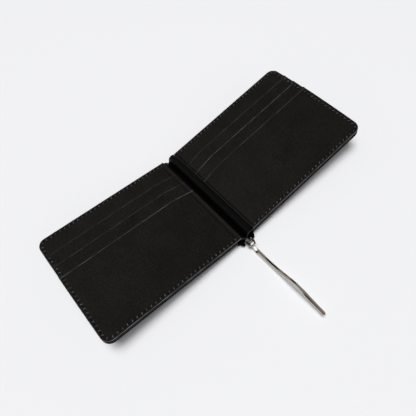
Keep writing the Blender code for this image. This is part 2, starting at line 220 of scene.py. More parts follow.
class Nodes:
    """A node tree being filled in."""

    def __init__(self, tree):
        self.tree = tree

    def add(self, kind, values=(), **settings):
        """A node with its settings and input values; a value may be another node's socket."""
        node = self.tree.nodes.new(kind)
        for key, value in settings.items():
            setattr(node, key, value)
        for key, value in dict(values).items():
            if isinstance(value, bpy.types.NodeSocket):
                self.tree.links.new(value, node.inputs[key])
            else:
                node.inputs[key].default_value = value
        return node

    def math(self, operation, first, second=0.0, clamp=False):
        """A sum, product or the like of two numbers."""
        return self.add("ShaderNodeMath", {0: first, 1: second},
                        operation=operation, use_clamp=clamp).outputs[0]

    def ramp(self, factor, stops, smooth_steps=True):
        """A colour ramp; stops are (position, colour)."""
        node = self.add("ShaderNodeValToRGB", {"Fac": factor})
        node.color_ramp.interpolation = "EASE" if smooth_steps else "LINEAR"
        elements = node.color_ramp.elements
        while len(elements) < len(stops):
            elements.new(1.0)
        for element, (position, color) in zip(elements, stops):
            element.position = position
            element.color = (*color, 1.0) if len(color) == 3 else color
        return node.outputs["Color"]

    def mix(self, factor, first, second, blend="MIX"):
        """Mixes two colours."""
        node = self.add("ShaderNodeMix", data_type="RGBA", blend_type=blend)
        for socket, value in ((node.inputs[0], factor), (node.inputs[6], first),
                              (node.inputs[7], second)):
            if isinstance(value, bpy.types.NodeSocket):
                self.tree.links.new(value, socket)
            else:
                socket.default_value = value if isinstance(value, float) else (*value, 1.0)
        return node.outputs[2]

    def noise(self, position, scale, detail=2.0, roughness=0.5):
        """Soft noise between 0 and 1."""
        return self.add("ShaderNodeTexNoise", {
            "Vector": position, "Scale": scale, "Detail": detail, "Roughness": roughness,
        }).outputs["Fac"]


def grey(level):
    """A colour with no tint."""
    return (level, level, level)


def new_material(name, **constants):
    """A Principled material, its node helper and its shader; constants go on the shader itself."""
    result = bpy.data.materials.new(name)
    result.use_nodes = True
    shader = result.node_tree.nodes["Principled BSDF"]
    for key, value in constants.items():
        shader.inputs[key.replace("_", " ")].default_value = value
    return result, Nodes(result.node_tree), shader


STRIP_BROWN = (0.0088, 0.0076, 0.0056)
# Near-black painted shade along the inner crease
CREASE_PAINTED_SHADE = (0.0004, 0.0004, 0.0004)

# Fineness of the materials' patterns, in features per metre
WARP_SCALE = 900.0
PEBBLE_SCALE = 1300.0
FINE_GRAIN_SCALE = 4200.0
CLOUD_SCALE = 60.0
STREAK_SCALE = 260.0
MOTTLE_SCALE = 1700.0
RUB_SCALE = 150.0
MARK_SCALE = 180.0
TWIST_SCALE = 1400.0
FIBRE_SCALE = 5000.0
THREAD_RUB_SCALE = 260.0
FLECK_SCALE = 1500.0

# How strongly the patterns act
WARP_REACH = 0.35 * MM
PEBBLE_SHARE = 0.7
CLOUD_DARK = 0.82
CLOUD_LIGHT = 1.2
ROUGHNESS_SPREAD = 0.07
GRAIN_STRENGTH = 0.9
BRUSH_STRETCH = (1.0, 0.06, 1.0)
BRUSH_HEIGHT = 0.02 * MM
MARK_DARK = 0.93
STEEL_ROUGHNESS_SPREAD = 0.3
TWIST_SHARE = 0.6
TWIST_HEIGHT = 0.08 * MM
TWIST_STRENGTH = 0.5


def leather_material(name, base, worn_and_highlight_colour, roughness, specular, grain_height):
    """Fine-grained leather: pebbles and pores, slow cloudiness, paler edges of wear and painted
    highlight, and painted shade in the crease.

    The mesh says where it is worn or gets painted highlight, where the brown strip is and where the
    crease's painted shade goes."""
    result, nodes, shader = new_material(name, Specular_IOR_Level=specular)
    link = nodes.tree.links.new
    place = nodes.add("ShaderNodeTexCoord").outputs["Object"]
    wear_and_highlight, strip, crease = [
        nodes.add("ShaderNodeAttribute", attribute_name=attribute).outputs["Fac"]
        for attribute in ("wear_and_highlight", "strip", "crease")]
    warp = nodes.add("ShaderNodeTexNoise", {"Vector": place, "Scale": WARP_SCALE, "Detail": 1.0})
    bent = nodes.add("ShaderNodeVectorMath", {0: warp.outputs["Color"], "Scale": WARP_REACH},
                     operation="SCALE").outputs[0]
    warped = nodes.add("ShaderNodeVectorMath", {0: place, 1: bent}, operation="ADD").outputs[0]
    pebble = nodes.add("ShaderNodeTexVoronoi", {"Vector": warped, "Scale": PEBBLE_SCALE},
                       feature="SMOOTH_F1").outputs["Distance"]
    fine = nodes.noise(place, FINE_GRAIN_SCALE, 2.0)
    cloud = nodes.noise(place, CLOUD_SCALE, 3.0)
    streak = nodes.noise(place, STREAK_SCALE, 4.0, 0.6)
    height = nodes.math("ADD", nodes.math("MULTIPLY", pebble, PEBBLE_SHARE),
                        nodes.math("MULTIPLY", fine, 1 - PEBBLE_SHARE))
    tone = nodes.ramp(cloud, [(0.3, tuple(CLOUD_DARK * c for c in base)),
                              (0.7, tuple(CLOUD_LIGHT * c for c in base))])
    pores = nodes.ramp(height, [(0.12, grey(1.5)), (0.6, grey(0.55))])
    mottle = nodes.ramp(nodes.noise(place, MOTTLE_SCALE, 2.0, 0.6),
                        [(0.32, grey(0.3)), (0.68, grey(1.8))])
    colour = nodes.mix(1.0, tone, pores, "MULTIPLY")
    colour = nodes.mix(1.0, colour, mottle, "MULTIPLY")
    colour = nodes.mix(strip, colour, STRIP_BROWN)
    # Painted shade: the inner crease's line is darkened to near black
    colour = nodes.mix(crease, colour, CREASE_PAINTED_SHADE)
    patchy = nodes.add("ShaderNodeMapRange", {
        "Value": nodes.noise(place, RUB_SCALE, 3.0), "From Min": 0.4, "From Max": 0.62,
        "To Min": 0.4, "To Max": 1.1}).outputs[0]
    # Pale colour on the bevels and slot lines: painted highlight, with some edge wear
    scuffed_and_highlight = nodes.math("MULTIPLY", wear_and_highlight, patchy, clamp=True)
    link(nodes.mix(scuffed_and_highlight, colour, worn_and_highlight_colour), shader.inputs["Base Color"])
    rough = nodes.add("ShaderNodeMapRange", {
        "Value": streak, "To Min": roughness - ROUGHNESS_SPREAD,
        "To Max": roughness + ROUGHNESS_SPREAD}).outputs[0]
    link(rough, shader.inputs["Roughness"])
    relief = nodes.add("ShaderNodeBump", {
        "Height": height, "Strength": GRAIN_STRENGTH, "Distance": grain_height}).outputs[0]
    link(relief, shader.inputs["Normal"])
    return result


def steel_material(name, colour, roughness, brush_scale, brush_strength):
    """Steel with fine brushing along the part and soft handling marks."""
    result, nodes, shader = new_material(name, Metallic=1.0)
    link = nodes.tree.links.new
    place = nodes.add("ShaderNodeTexCoord").outputs["Object"]
    stretched = nodes.add("ShaderNodeMapping", {"Vector": place, "Scale": BRUSH_STRETCH})
    brushing = nodes.noise(stretched.outputs[0], brush_scale, 3.0)
    marks = nodes.noise(place, MARK_SCALE, 3.0)
    tint = nodes.ramp(marks, [(0.35, tuple(MARK_DARK * c for c in colour)), (0.7, colour)])
    link(tint, shader.inputs["Base Color"])
    rough = nodes.add("ShaderNodeMapRange", {
        "Value": nodes.math("MULTIPLY", brushing, marks),
        "From Min": 0.1, "From Max": 0.45,
        "To Min": (1 - STEEL_ROUGHNESS_SPREAD) * roughness,
        "To Max": (1 + STEEL_ROUGHNESS_SPREAD) * roughness}).outputs[0]
    link(rough, shader.inputs["Roughness"])
    relief = nodes.add("ShaderNodeBump", {
        "Height": brushing, "Strength": brush_strength, "Distance": BRUSH_HEIGHT}).outputs[0]
    link(relief, shader.inputs["Normal"])
    return result


def thread_material(name, dark, light, specular):
    """Twisted sewing thread."""
    result, nodes, shader = new_material(name, Specular_IOR_Level=specular, Roughness=0.32)
    link = nodes.tree.links.new
    place = nodes.add("ShaderNodeTexCoord").outputs["Object"]
    twist = nodes.add("ShaderNodeTexWave", {
        "Vector": place, "Scale": TWIST_SCALE, "Distortion": 1.5, "Detail": 1.0},
        bands_direction="DIAGONAL").outputs["Fac"]
    fibre = nodes.noise(place, FIBRE_SCALE)
    blended = nodes.math("ADD", nodes.math("MULTIPLY", twist, TWIST_SHARE),
                         nodes.math("MULTIPLY", fibre, 1 - TWIST_SHARE))
    rubbed = nodes.ramp(nodes.noise(place, THREAD_RUB_SCALE, 2.0),
                        [(0.4, grey(0.25)), (0.62, grey(1.0))])
    colour = nodes.ramp(blended, [(0.25, dark), (0.75, light)])
    link(nodes.mix(1.0, colour, rubbed, "MULTIPLY"), shader.inputs["Base Color"])
    relief = nodes.add("ShaderNodeBump", {
        "Height": twist, "Strength": TWIST_STRENGTH, "Distance": TWIST_HEIGHT}).outputs[0]
    link(relief, shader.inputs["Normal"])
    return result


def board_material(name):
    """Grey stiffening board with flecks."""
    result, nodes, shader = new_material(name, Roughness=0.9, Specular_IOR_Level=0.1)
    place = nodes.add("ShaderNodeTexCoord").outputs["Object"]
    flecks = nodes.noise(place, FLECK_SCALE, 4.0, 0.7)
    colour = nodes.ramp(flecks, [(0.3, (0.03, 0.027, 0.024)), (0.7, (0.075, 0.068, 0.06))])
    nodes.tree.links.new(colour, shader.inputs["Base Color"])
    return result


# Its pale bluish edge colour is mostly painted highlight on the bevels and slot lines, with some
# edge wear
FACE_LEATHER = leather_material(
    "pocket_leather_grain", base=(0.0074, 0.0068, 0.0057), worn_and_highlight_colour=(0.22, 0.222, 0.232),
    roughness=0.46, specular=0.2, grain_height=0.09 * MM)
COVER_LEATHER = leather_material(
    "cover_leather_grain", base=(0.0020, 0.0019, 0.0018), worn_and_highlight_colour=(0.1, 0.1, 0.105),
    roughness=0.6, specular=0.05, grain_height=0.06 * MM)
LINING_LEATHER = leather_material(
    "lining_leather_grain", base=(0.0012, 0.0011, 0.0010), worn_and_highlight_colour=(0.1, 0.1, 0.105),
    roughness=0.5, specular=0.13, grain_height=0.05 * MM)
STEEL = steel_material(
    "polished_steel_finish", colour=(0.86, 0.84, 0.80), roughness=0.1,
    brush_scale=2600.0, brush_strength=0.05)
BRACKET_STEEL = steel_material(
    "bracket_steel_finish", colour=(0.16, 0.14, 0.12), roughness=0.12,
    brush_scale=2600.0, brush_strength=0.1)
SPRING_STEEL = steel_material(
    "spring_steel_finish", colour=grey(0.5), roughness=0.3,
    brush_scale=3200.0, brush_strength=0.2)
THREAD = thread_material(
    "seam_thread", dark=(0.03, 0.03, 0.031), light=(0.15, 0.15, 0.155), specular=0.9)
DARK_THREAD = thread_material(
    "inner_seam_thread", dark=(0.002, 0.0018, 0.0016), light=(0.007, 0.006, 0.005),
    specular=0.15)
# Near-black dots of painted shade that stand in for the shade inside the needle holes
HOLE_PAINTED_SHADE = leather_material(
    "needle_hole_painted_shade", base=(0.0012, 0.0012, 0.0011), worn_and_highlight_colour=grey(0.002),
    roughness=0.8, specular=0.05, grain_height=0.05 * MM)
CUT_EDGE = leather_material(
    "painted_cut_edge", base=grey(0.0018), worn_and_highlight_colour=grey(0.01),
    roughness=0.7, specular=0.02, grain_height=0.04 * MM)
BOARD = board_material("stiffening_board")


# ---------------------------------------------------------------- leather sheets

def slot_line(side, number, x):
    """Height of a pocket's slot edge: straight, then drooping towards the spine."""
    bend = SLOT_BEND + INNER_X[side]
    droop = SLOT_DROOP * min(max((bend - x) / SLOT_BEND, 0.0), 1.0)
    return SLOT_TOPS[number] - droop


def outer_bow(side, y):
    """How far a wing's outer edge swells between its corners."""
    return OUTER_SWELL[side] * (1 - (y / HALF_HEIGHT) ** 2)


def rounded(side, x, y):
    """Moves a point of a corner's square block onto the rounded corner."""
    center_x = OUTER_X[side] - CORNER_RADIUS
    center_y = HALF_HEIGHT - CORNER_RADIUS
    across = (x - center_x) / CORNER_RADIUS
    along = (abs(y) - center_y) / CORNER_RADIUS
    if across <= 0 or along <= 0:
        return x + outer_bow(side, y) * smooth(x, 0.0, OUTER_X[side]), y
    share = max(across, along) / math.hypot(across, along)
    new_y = math.copysign(center_y + along * share * CORNER_RADIUS, y)
    return center_x + across * share * CORNER_RADIUS + outer_bow(side, y), new_y


def seam_distance(side, x, y):
    """Distance inwards from the wing's sewn outline: bottom, outer and top edges."""
    center_x = OUTER_X[side] - CORNER_RADIUS
    center_y = HALF_HEIGHT - CORNER_RADIUS
    if x > center_x and abs(y) > center_y:
        return CORNER_RADIUS - math.hypot(x - center_x, abs(y) - center_y)
    return min(OUTER_X[side] - x, HALF_HEIGHT - abs(y))


def face_relief(side, x, y, level):
    """Height of the face leather over its plane: seam groove, puckers, crease and waviness."""
    inward = seam_distance(side, x, y)
    groove = -GROOVE_DEPTH * bump(inward, SEAM_INSET, GROOVE_WIDTH)
    along = x if HALF_HEIGHT - abs(y) < OUTER_X[side] - x else y
    pucker = PUCKER_HEIGHT * math.cos(2 * math.pi * along / STITCH_PITCH)
    pucker *= bump(inward, SEAM_INSET, PUCKER_WIDTH)
    from_inner = x - INNER_X[side]
    crease = -CREASE_DEPTH * bump(from_inner, INNER_STITCH_INSET[side], CREASE_WIDTH)
    wave = noise.noise(Vector((x / WAVE_LENGTH, y / WAVE_WIDTH, level)))
    return groove + pucker + crease + WAVE_HEIGHT * wave * smooth(inward, 0.0, WAVE_FADE)


def lip_height(from_slot):
    """Height of a slot's turned-in edge: a flat band with a bead, down to nothing at its end."""
    band = smooth(from_slot, LIP_END, LIP_FLAT)
    return LIP_HEIGHT * (band + LIP_BEAD_SHARE * bump(from_slot, LIP_BEAD, LIP_BEAD_WIDTH))


def wear_and_highlight_amount(side, number, outline, from_slot, from_inner):
    """How pale the leather is made, as edge wear and painted highlight: its outline's bevel, a
    slot's turned edge, the inner edge.
    """
    slot_highlight = 0.0 if number is None else SLOT_HIGHLIGHT[side][number]
    return max(bump(outline, BEVEL_LINE, BEVEL_LINE),
               slot_highlight * bump(from_slot, SLOT_LINE, SLOT_LINE_WIDTH),
               INNER_LINE_PALENESS[side] * bump(from_inner, INNER_LINE, INNER_LINE_WIDTH))


def strip_amount(side, from_inner):
    """How much a place belongs to the brown strip between the inner seam and the inner edge."""
    width = INNER_STITCH_INSET[side] - STRIP_GAP
    return (smooth(from_inner, width, width - STRIP_FADE)
            * smooth(from_inner, STRIP_START, STRIP_START + STRIP_FADE))


def leather_sheet(name, side, number, top, bottom, finish, trim=0.0, recess=0.0, inner=None):
    """One leather layer of a wing, up to a slot edge (number) or the top edge (number None)."""
    sign = SIDE_SIGN[side]
    low_x = INNER_X[side] if inner is None else inner
    high_x = OUTER_X[side] - SIDE_TRIM_SHARE * trim
    low_y = -HALF_HEIGHT + trim
    margin = EDGE_ROWS[-1]
    near = [low_x + row for row in EDGE_ROWS]
    far = [high_x - row for row in reversed(EDGE_ROWS)]
    columns = near[:-1] + steps(low_x + margin, high_x - margin, GRID_STEP) + far[1:]

    def high_y(x):
        return HALF_HEIGHT if number is None else slot_line(side, number, x)

    span = high_y(high_x) - low_y
    inside = steps(margin / span, 1 - margin / span, GRID_STEP / span)[1:-1]
    bm = bmesh.new()
    wear_and_highlight, strip, crease = [bm.verts.layers.float.new(layer)
                           for layer in ("wear_and_highlight", "strip", "crease")]
    top_grid = []
    bottom_grid = []
    for x in columns:
        high = high_y(x)
        rows = ([low_y + row for row in EDGE_ROWS]
                + [low_y + (high - low_y) * share for share in inside]
                + [high - row for row in reversed(EDGE_ROWS)])
        top_line = []
        bottom_line = []
        for y in rows:
            edge = min(x - low_x, high_x - x, y - low_y, high - y)
            turn = min(edge / EDGE_ROUND, 1.0)
            fall = EDGE_ROUND * (1 - math.sqrt(max(1 - (1 - turn) ** 2, 0.0)))
            raised = face_relief(side, x, y, top) * smooth(edge, 0.0, RELIEF_FADE) - fall
            if number is not None:
                raised += lip_height(high - y)
            raised -= recess * smooth(edge, RECESS_START, RECESS_END)
            place_x, place_y = rounded(side, x, y)
            vertex = bm.verts.new((sign * place_x, place_y, top + raised))
            outline = min(high_x - x, y - low_y, HALF_HEIGHT - y)
            from_inner = x - INNER_X[side]
            # Pale colour for edge wear and painted highlight on the bevel and the slot lines
            vertex[wear_and_highlight] = wear_and_highlight_amount(side, number, outline, high - y, from_inner)
            vertex[strip] = strip_amount(side, from_inner)
            # Where the inner crease's painted shade goes
            vertex[crease] = bump(from_inner, INNER_STITCH_INSET[side], CREASE_LINE_WIDTH)
            top_line.append(vertex)
            bottom_line.append(bm.verts.new((sign * place_x, place_y, bottom)))
        top_grid.append(top_line)
        bottom_grid.append(bottom_line)
    close_sheet(bm, top_grid, bottom_grid)
    obj = new_object(name, bm, finish)
    obj.data.materials.append(CUT_EDGE)
    obj.matrix_world = wing_frame(side)
    return obj


def close_sheet(bm, top, bottom):
    """Faces of a sheet: its two grids and, in the second material, the band round their edges."""
    for grid in (top, bottom):
        for first, second in zip(grid, grid[1:]):
            for index in range(len(first) - 1):
                bm.faces.new((first[index], second[index], second[index + 1], first[index + 1]))
    rims = []
    for grid in (top, bottom):
        rims.append([line[0] for line in grid] + grid[-1][1:]
                    + [line[-1] for line in reversed(grid[:-1])] + grid[0][-2:0:-1])
    for index in range(len(rims[0])):
        following = (index + 1) % len(rims[0])
        band = bm.faces.new((rims[0][index], rims[0][following],
                             rims[1][following], rims[1][index]))
        band.material_index = 1


def place_leather(piece, side, node):
    """Puts a wing's leather on its body in place of its CAD node."""
    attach(piece, side + "_wing")
    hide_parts(node)


def build_wing(side):
    """The wing's leather layers, from its face to its cover."""
    top = FACE_Z
    for number, name in enumerate(("front", "middle", "upper")):
        node = f"{side}_{name}_pocket"
        trim = TRIM if number else 0.0
        piece = leather_sheet(node + "_leather", side, number, top, top - PRESSED_THICKNESS,
                              FACE_LEATHER, trim=trim)
        place_leather(piece, side, node)
        top -= LAYER_PITCH
    node = side + "_card_backing"
    piece = leather_sheet(node + "_leather", side, None, top, top - BACKING_THICKNESS,
                          FACE_LEATHER, trim=TRIM)
    place_leather(piece, side, node)
    node = side + "_cover"
    piece = leather_sheet(node + "_leather", side, None, COVER_TOP, COVER_BOTTOM, COVER_LEATHER,
                          recess=COVER_RECESS, inner=0.0)
    place_leather(piece, side, node)


# ---------------------------------------------------------------- stitching

STITCH_LENGTH = 1.45 * MM
STITCH_SLANT = {"left": math.radians(72.0), "right": math.radians(40.0)}
STITCH_WOBBLE = 0.12
WOBBLE_PITCH = 1.7
INNER_STITCH_LENGTH = 2.2 * MM
THREAD_RADIUS = 0.27 * MM
THREAD_PROUD = 0.7
SEAM_CORNER_STEP = math.pi / 16
# A stitch's shape: share of its half length, depth below its top, share of the thread's radius
STITCH_SHAPE = ((-1.0, 0.42 * MM, 0.7), (-0.8, 0.15 * MM, 0.95), (-0.35, 0.0, 1.05),
                (0.35, 0.0, 1.05), (0.8, 0.15 * MM, 0.95), (1.0, 0.42 * MM, 0.7))
# A needle hole's shape: height and radius, both as shares of its radius
HOLE_SHAPE = ((0.0, 0.6), (1.0, 1.0), (1.12, 0.7))
HOLE_RADIUS = 0.42 * MM


def seam_path(side):
    """Points of the wing's edge seam: along its bottom, round its outer corners, along its top."""
    radius = CORNER_RADIUS - SEAM_INSET
    center_x = OUTER_X[side] - CORNER_RADIUS
    center_y = HALF_HEIGHT - CORNER_RADIUS
    start_x = INNER_X[side] + SEAM_INSET
    corner = [(center_x + radius * math.sin(angle), -center_y - radius * math.cos(angle))
              for angle in steps(0.0, math.pi / 2, SEAM_CORNER_STEP)]
    half = [(start_x, -HALF_HEIGHT + SEAM_INSET)] + corner
    return half + [(x, -y) for x, y in reversed(half)]


def surface_z(side, x, y):
    """Height of the leather that shows at a place on the wing's face."""
    level = FACE_Z
    for number in range(len(SLOT_TOPS)):
        if y < slot_line(side, number, x):
            break
        level -= LAYER_PITCH
    return level + face_relief(side, x, y, level)


def along_path(points, pitch):
    """Places at an even pitch along a path, each with the path's direction there."""
    places = []
    travelled = 0.0
    target = pitch / 2
    for first, second in zip(points, points[1:]):
        first = Vector(first)
        leg = Vector(second) - first
        while target <= travelled + leg.length:
            places.append((first + leg * ((target - travelled) / leg.length), leg.normalized()))
            target += pitch
        travelled += leg.length
    return places


def add_bead(bm, line, radii, sides=8):
    """A closed tube through the points of a line, with a radius at each."""
    rings = []
    for index, point in enumerate(line):
        ahead = line[min(index + 1, len(line) - 1)]
        behind = line[max(index - 1, 0)]
        along = (ahead - behind).normalized()
        across = along.cross(Vector((0, 0, 1)))
        if across.length < 0.1:
            across = along.cross(Vector((0, 1, 0)))
        across.normalize()
        other = across.cross(along)
        rings.append([bm.verts.new(point + radii[index] * (across * math.cos(turn)
                                                           + other * math.sin(turn)))
                      for turn in steps(0.0, 2 * math.pi, 2 * math.pi / sides)[:-1]])
    for first, second in zip(rings, rings[1:]):
        for index in range(sides):
            following = (index + 1) % sides
            bm.faces.new((first[index], first[following], second[following], second[index]))
    bm.faces.new(rings[0])
    bm.faces.new(rings[-1])


def stitch_row(side, name, path, length, slant, finish, radius, node):
    """A row of slanted stitches along a path on the wing, with a near-black dot of painted shade
    for a needle hole between each two.
    """
    threads = bmesh.new()
    hole_shade_dots = bmesh.new()
    sign = SIDE_SIGN[side]
    for index, (place, along) in enumerate(along_path(path, STITCH_PITCH)):
        wobble = STITCH_WOBBLE * noise.noise(Vector((index * WOBBLE_PITCH, radius / MM, sign)))
        angle = sign * (slant + wobble)
        heading = Matrix.Rotation(angle, 2) @ along
        line = []
        for share, depth, _ in STITCH_SHAPE:
            x, y = place + heading * share * length / 2
            height = surface_z(side, x, y) + THREAD_PROUD * radius
            line.append(Vector((sign * x, y, height - depth)))
        add_bead(threads, line, [radius * share for _, _, share in STITCH_SHAPE])
        # A near-black dot of painted shade for the needle hole
        hole_x, hole_y = place + along * STITCH_PITCH / 2
        low = Vector((sign * hole_x, hole_y, surface_z(side, hole_x, hole_y) - HOLE_RADIUS))
        lift = Vector((0, 0, HOLE_RADIUS))
        add_bead(hole_shade_dots, [low + height * lift for height, _ in HOLE_SHAPE],
                 [HOLE_RADIUS * share for _, share in HOLE_SHAPE])
    for suffix, bm, material in (("stitches", threads, finish), ("needle_holes", hole_shade_dots, HOLE_PAINTED_SHADE)):
        piece = new_object(f"{side}_{name}_{suffix}", bm, material)
        piece.matrix_world = wing_frame(side)
        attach(piece, side + "_wing")
        if bm is threads:
            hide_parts(node)


def build_stitching(side):
    """The wing's edge seam in grey thread and its inner seam in dark thread."""
    stitch_row(side, "edge_seam", seam_path(side), STITCH_LENGTH, STITCH_SLANT[side], THREAD,
               THREAD_RADIUS, side + "_edge_seam_thread")
    inner_x = INNER_X[side] + INNER_STITCH_INSET[side]
    end = HALF_HEIGHT - 2 * SEAM_INSET
    stitch_row(side, "inner_seam", [(inner_x, -end), (inner_x, end)], INNER_STITCH_LENGTH, 0.0,
               DARK_THREAD, THREAD_RADIUS, side + "_inner_seam_thread")


# ---------------------------------------------------------------- spine leather

SPINE_THICKNESS = 1.0 * MM
SPINE_SETBACK = 1.4 * MM
LINING_THICKNESS = 0.8 * MM
LINING_DROOP = 0.7 * MM
DROOP_REACH = 3.5 * MM
SPAN_POINTS = 6
STRIP_STEP = 2.3 * MM
END_ROWS = [0.0, 0.15 * MM, 0.4 * MM, 0.9 * MM]
END_WEAR = 0.6
END_WEAR_REACH = 0.5 * MM
EDGE_BLUNTNESS = 0.04
COVER_WRINKLE = 0.05 * MM
BEND_WRINKLE = 0.1 * MM
LINING_WRINKLE = 0.12 * MM
WRINKLE_ACROSS = 2.5 * MM
WRINKLE_ALONG = 8.0 * MM


def leather_strip(name, section, thickness, low_y, high_y, finish, wrinkle, droop=0.0):
    """A strip of leather along the spine, from the (x, z) points of its section's centre line."""
    line = catmull(section, SPAN_POINTS)
    bm = bmesh.new()
    wear_and_highlight = bm.verts.layers.float.new("wear_and_highlight")
    margin = END_ROWS[-1]
    rows = ([low_y + row for row in END_ROWS[:-1]]
            + steps(low_y + margin, high_y - margin, STRIP_STEP)
            + [high_y - row for row in reversed(END_ROWS[:-1])])
    grids = ([], [])
    for index, point in enumerate(line):
        ahead = line[min(index + 1, len(line) - 1)]
        behind = line[max(index - 1, 0)]
        along = (ahead - behind).normalized()
        normal = Vector((-along.y, along.x))
        from_side = min((point - line[0]).length, (point - line[-1]).length)
        for grid, face in zip(grids, (1, -1)):
            column = []
            for y in rows:
                from_end = min(y - low_y, high_y - y)
                edge = min(min(from_side, from_end) / (thickness / 2), 1.0)
                half = thickness / 2 * math.sqrt(max(1 - (1 - edge) ** 2, EDGE_BLUNTNESS))
                wave = wrinkle * noise.noise(
                    Vector((point.x / WRINKLE_ACROSS, y / WRINKLE_ALONG, thickness)))
                place = point + normal * (face * half + wave)
                fall = droop * (1 - smooth(from_end, 0.0, DROOP_REACH))
                vertex = bm.verts.new((place.x, y, place.y - fall))
                vertex[wear_and_highlight] = END_WEAR * smooth(from_end, END_WEAR_REACH, 0.0)
                column.append(vertex)
            grid.append(column)
    close_sheet(bm, *grids)
    obj = new_object(name, bm, finish)
    obj.data.materials.append(CUT_EDGE)
    return obj


# The cover's bend, as (across, up): two points from the spine's side, two from the fold line
BEND_FROM_SPINE = ((-0.4 * MM, 0.0), (1.2 * MM, 0.5 * MM))
BEND_FROM_FOLD = ((-0.5 * MM, -1.6 * MM), (0.3 * MM, 0.5 * MM))


def build_spine_cover():
    """The cover leather under the spine, and its bends up to each wing's cover."""
    low_y = SPINE_LOW.y + SPINE_SETBACK
    half_width = SPINE_HIGH.x
    middle_z = (SPINE_LOW.z + SPINE_HIGH.z) / 2
    flat = [(share * half_width, middle_z) for share in (-1.0, -0.5, 0.0, 0.5, 1.0)]
    cover = leather_strip("spine_cover_leather", flat, SPINE_THICKNESS, low_y, HALF_HEIGHT,
                          COVER_LEATHER, COVER_WRINKLE)
    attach(cover, "spine")
    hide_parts("spine_cover")
    for side, sign in SIDE_SIGN.items():
        fold = FOLD[side]
        bend = [(sign * (half_width + across), middle_z + up) for across, up in BEND_FROM_SPINE]
        bend += [(sign * (abs(fold.x) + across), fold.z + up) for across, up in BEND_FROM_FOLD]
        piece = leather_strip(side + "_cover_bend", bend, SPINE_THICKNESS, -HALF_HEIGHT,
                              HALF_HEIGHT, COVER_LEATHER, BEND_WRINKLE)
        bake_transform(piece)
        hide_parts(side + "_cover_fold")


# Sections of the lining over the clip's bar, as (x, z), from the trough's lowest line
TROUGH = (0.9 * MM, 3.6 * MM)
LEFT_SLOPE = (TROUGH, (0.1 * MM, 4.2 * MM), (-1.1 * MM, 5.6 * MM), (-2.4 * MM, 6.6 * MM),
              (-4.4 * MM, 6.9 * MM))
RIGHT_HUMP = (TROUGH, (1.3 * MM, 4.2 * MM), (2.0 * MM, 6.5 * MM), (2.4 * MM, 7.9 * MM),
              (3.4 * MM, 8.85 * MM), (4.6 * MM, 9.15 * MM), (5.7 * MM, 9.05 * MM),
              (6.25 * MM, 8.7 * MM), (6.4 * MM, 7.8 * MM))


def build_lining():
    """The lining: a slope from the left wing's edge and a soft hump beside the right wing."""
    parts = (("left", LEFT_SLOPE, ("left_lining_fold", "trough_lining")),
             ("right", RIGHT_HUMP, ("right_lining_fold",)))
    for side, section, nodes in parts:
        piece = leather_strip(side + "_lining_leather", section, LINING_THICKNESS,
                              -HALF_HEIGHT, HALF_HEIGHT, LINING_LEATHER, LINING_WRINKLE,
                              droop=LINING_DROOP)
        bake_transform(piece)
        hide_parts(*nodes)


# Centre lines of the rolled ends, in millimetres, from beside the clip to the wing's corner
HEM_LINES = {
    "left": ((-2.9, -45.0, 2.4), (-3.6, -45.4, 2.7), (-4.4, -44.8, 3.2), (-5.4, -43.3, 3.8)),
    "right": ((4.0, -44.5, 1.6), (4.8, -45.0, 1.9), (5.5, -44.2, 2.7), (6.5, -43.0, 3.5)),
}
HEM_RADIUS = 1.15 * MM
HEM_TAPER = 3
HEM_BLUNTNESS = 0.05
HEM_SIDES = 16


def build_hem_rolls():
    """The cover leather's end, rolled into a lump on each side of the clip."""
    for side, places in HEM_LINES.items():
        points = [Vector(place) * MM for place in places]
        line = catmull(points, SPAN_POINTS)
        from_middle = steps(-1.0, 1.0, 2 / (len(line) - 1))
        radii = [HEM_RADIUS * math.sqrt(max(1 - abs(share) ** HEM_TAPER, HEM_BLUNTNESS))
                 for share in from_middle]
        bm = bmesh.new()
        add_bead(bm, line, radii, sides=HEM_SIDES)
        piece = new_object(side + "_hem_roll", bm, COVER_LEATHER)
        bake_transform(piece)


# ---------------------------------------------------------------- clip metalwork

# The arm's centre line, as (reach from the pin, height)
ARM_WAVE = (
    (0.0, 0.0), (2.6 * MM, 1.5 * MM), (5.6 * MM, 3.8 * MM), (9.5 * MM, 4.2 * MM),
    (15.5 * MM, 4.0 * MM), (23.0 * MM, 2.5 * MM), (30.5 * MM, 0.1 * MM), (38.0 * MM, -2.2 * MM),
    (45.5 * MM, -2.4 * MM), (52.0 * MM, -1.3 * MM), (57.0 * MM, -0.6 * MM), (63.0 * MM, 0.0),
)
ARM_LIFT = 0.1
ARM_THICKNESS = 1.0 * MM
ARM_ROOT_WIDTH = 3.6 * MM
ARM_TIP_WIDTH = 2.4 * MM
ARM_TIP_BLUNTNESS = 0.02
ARM_SPAN_POINTS = 10
# Points at the start of the arm's line that lie inside the knuckle
ARM_HIDDEN_POINTS = 3
# The section is an oval with squarer shoulders: powers of its cosine and sine
ARM_SECTION_STEP = math.pi / 10
ARM_SIDE_POWER = 0.9
ARM_FACE_POWER = 0.95
ARM_SHARP_ANGLE = math.radians(50)
NECK_START = 3.6 * MM
NECK_END = 5.6 * MM
KNUCKLE_WIDTH = 2.6 * MM
KNUCKLE_RADIUS = 1.55 * MM
KNUCKLE_BEVEL = 0.1 * MM
KNUCKLE_END_SHARE = 0.86
KNUCKLE_SIDES = 32
WELD_DISTANCE = 0.002 * MM
SOFTEN_ANGLE = math.radians(35)


def arm_half_width(reach):
    """Half the arm's width: narrow at the pivot, then tapering to a rounded tip."""
    length = ARM_WAVE[-1][0]
    taper = ARM_ROOT_WIDTH + (ARM_TIP_WIDTH - ARM_ROOT_WIDTH) * reach / length
    width = KNUCKLE_WIDTH + (taper - KNUCKLE_WIDTH) * smooth(reach, NECK_START, NECK_END)
    from_tip = (length - reach) / (ARM_TIP_WIDTH / 2)
    if from_tip < 1:
        width *= math.sqrt(max(1 - (1 - from_tip) ** 2, ARM_TIP_BLUNTNESS))
    return width / 2


def signed_power(value, power):
    """A power that keeps the value's sign."""
    return math.copysign(abs(value) ** power, value)


